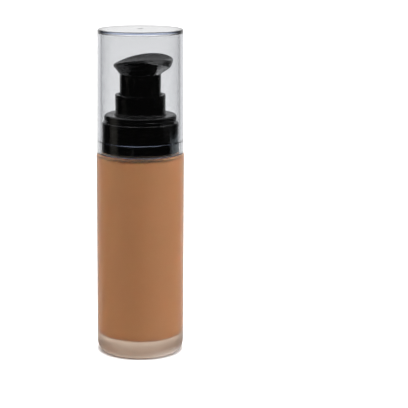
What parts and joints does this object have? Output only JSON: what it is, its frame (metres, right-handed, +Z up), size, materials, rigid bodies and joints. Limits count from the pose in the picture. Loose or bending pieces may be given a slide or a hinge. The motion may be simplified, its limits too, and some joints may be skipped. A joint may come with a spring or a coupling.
{
  "type": "foundation bottle",
  "caption": "Frosted glass cosmetic bottle with a press pump, a threaded closure and a clear pull-off overcap.",
  "frame": {"origin": "centre of the base, on the surface the bottle stands on", "axes": "+Z up along the bottle's axis, -Y towards the front, +X to the right"},
  "size_m": [0.031, 0.031, 0.1153],
  "materials": {
    "frosted_glass": "frosted",
    "foundation": "satin",
    "clear_plastic": "polished",
    "black_plastic": "gloss",
    "black_inner_plastic": "satin",
    "white_plastic": "satin",
    "gasket_foam": "matte",
    "steel": "bright"
  },
  "bodies": {
    "glass": {"bottle": "frosted_glass", "foundation_fill": "foundation"},
    "pump_body": {"pump_housing": "white_plastic", "chaplet": "white_plastic", "neck_gasket": "gasket_foam", "dip_tube": "white_plastic", "return_spring": "steel"},
    "closure": {"screw_closure": "black_inner_plastic", "collar_shell": "black_plastic", "guide_sleeve": "black_plastic"},
    "cap": {"overcap": "clear_plastic"},
    "plunger": {"stem": "white_plastic", "piston_rod": "white_plastic"},
    "piston": {"piston": "white_plastic"},
    "head": {"actuator_head": "black_plastic"},
    "ball": {"inlet_ball": "steel"}
  },
  "joints": [
    {"name": "pump_lift", "type": "slide", "parent": "glass", "child": "pump_body", "axis": [0, 0, 1], "range_m": [0, 0.00476]},
    {"name": "closure_turn", "type": "hinge", "parent": "pump_body", "child": "closure", "pos_m": [0, 0, 0.078], "axis": [0, 0, 1], "range_deg": [0, 540]},
    {"name": "cap_lift", "type": "slide", "parent": "closure", "child": "cap", "axis": [0, 0, 1], "range_m": [0, 0.06]},
    {"name": "head_press", "type": "slide", "parent": "pump_body", "child": "plunger", "axis": [0, 0, -1], "range_m": [0, 0.0055], "stiffness_N_per_m": 600, "deforming": ["return_spring"]},
    {"name": "piston_lag", "type": "slide", "parent": "plunger", "child": "piston", "axis": [0, 0, 1], "range_m": [0, 0.00048]},
    {"name": "head_swivel", "type": "hinge", "parent": "plunger", "child": "head", "pos_m": [0, 0, 0.1], "axis": [0, 0, 1], "continuous": true},
    {"name": "ball_lift", "type": "slide", "parent": "pump_body", "child": "ball", "axis": [0, 0, 1], "range_m": [0, 0.0007]}
  ],
  "couplings": [
    {"joint": "closure_turn", "follows": "pump_lift", "rad_per_m": 1979},
    {"joint": "piston_lag", "follows": "head_press", "ratio": 0.0872}
  ]
}
